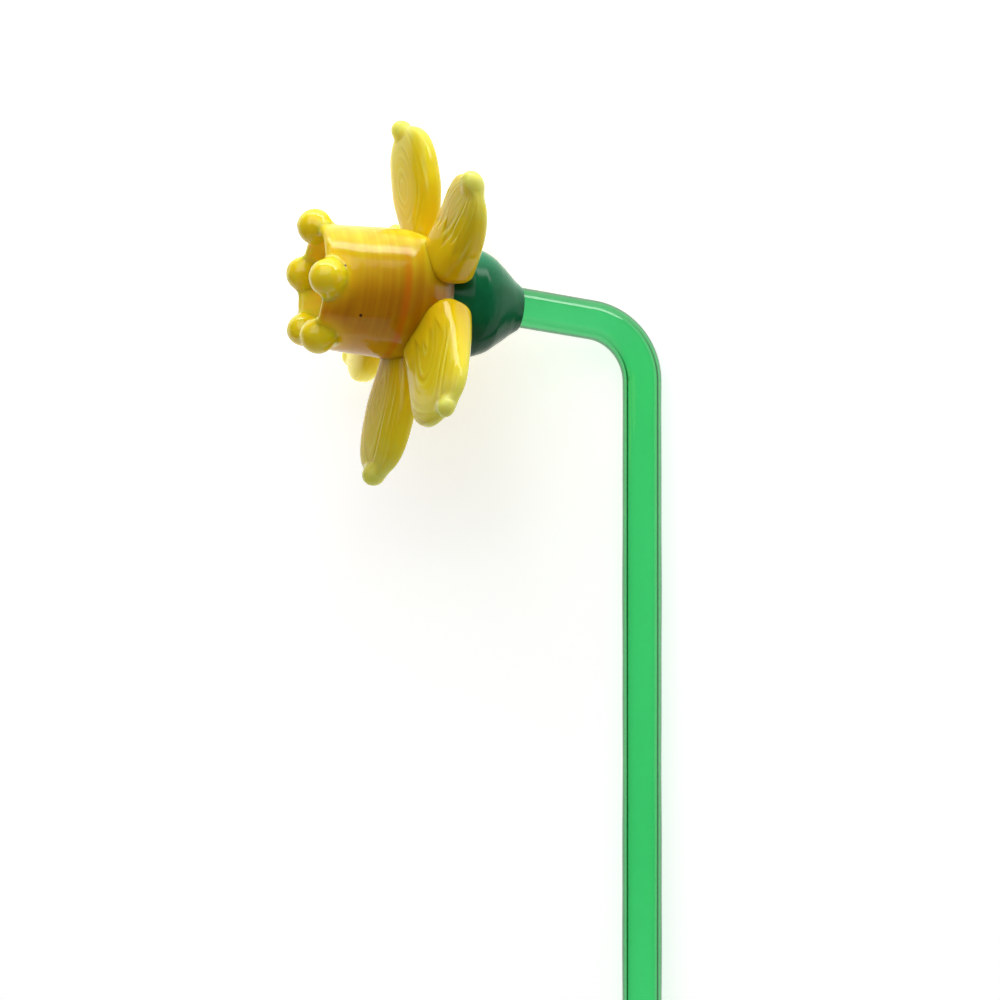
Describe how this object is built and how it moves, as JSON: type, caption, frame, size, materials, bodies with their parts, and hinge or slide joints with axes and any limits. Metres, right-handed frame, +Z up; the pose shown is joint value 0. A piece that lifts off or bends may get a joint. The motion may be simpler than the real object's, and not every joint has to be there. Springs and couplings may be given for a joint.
{
  "type": "glass daffodil flower",
  "caption": "Lampworked glass daffodil lying on its side: clear green rod stem bent near the top, dark calyx, amber trumpet with a beaded rim, pressed yellow petals.",
  "frame": {"origin": "centre of the bounding box's base, on the surface the flower lies on", "axes": "+Y along the stem from its cut end towards the bend, +Z up, and the flower faces -X and up"},
  "size_m": [0.0528, 0.2994, 0.0417],
  "materials": {
    "stem_glass": "clear fire-polished green glass rod",
    "calyx_glass": "opaque dark green glass, fire-polished",
    "corona_glass": "streaky amber and yellow glass, nearly opaque, fire-polished",
    "lobe_glass": "yellow glass beads, fire-polished",
    "petal_glass": "yellow glass paling to lime at the tips, pressed with veins on the front"
  },
  "bodies": {
    "root": {"stem": "stem_glass", "calyx": "calyx_glass", "corona": "corona_glass", "lobe_1": "lobe_glass", "lobe_2": "lobe_glass", "lobe_3": "lobe_glass", "lobe_4": "lobe_glass", "lobe_5": "lobe_glass", "petal_1": "petal_glass", "petal_2": "petal_glass", "petal_3": "petal_glass", "petal_4": "petal_glass", "petal_5": "petal_glass", "petal_6": "petal_glass"}
  },
  "joints": []
}
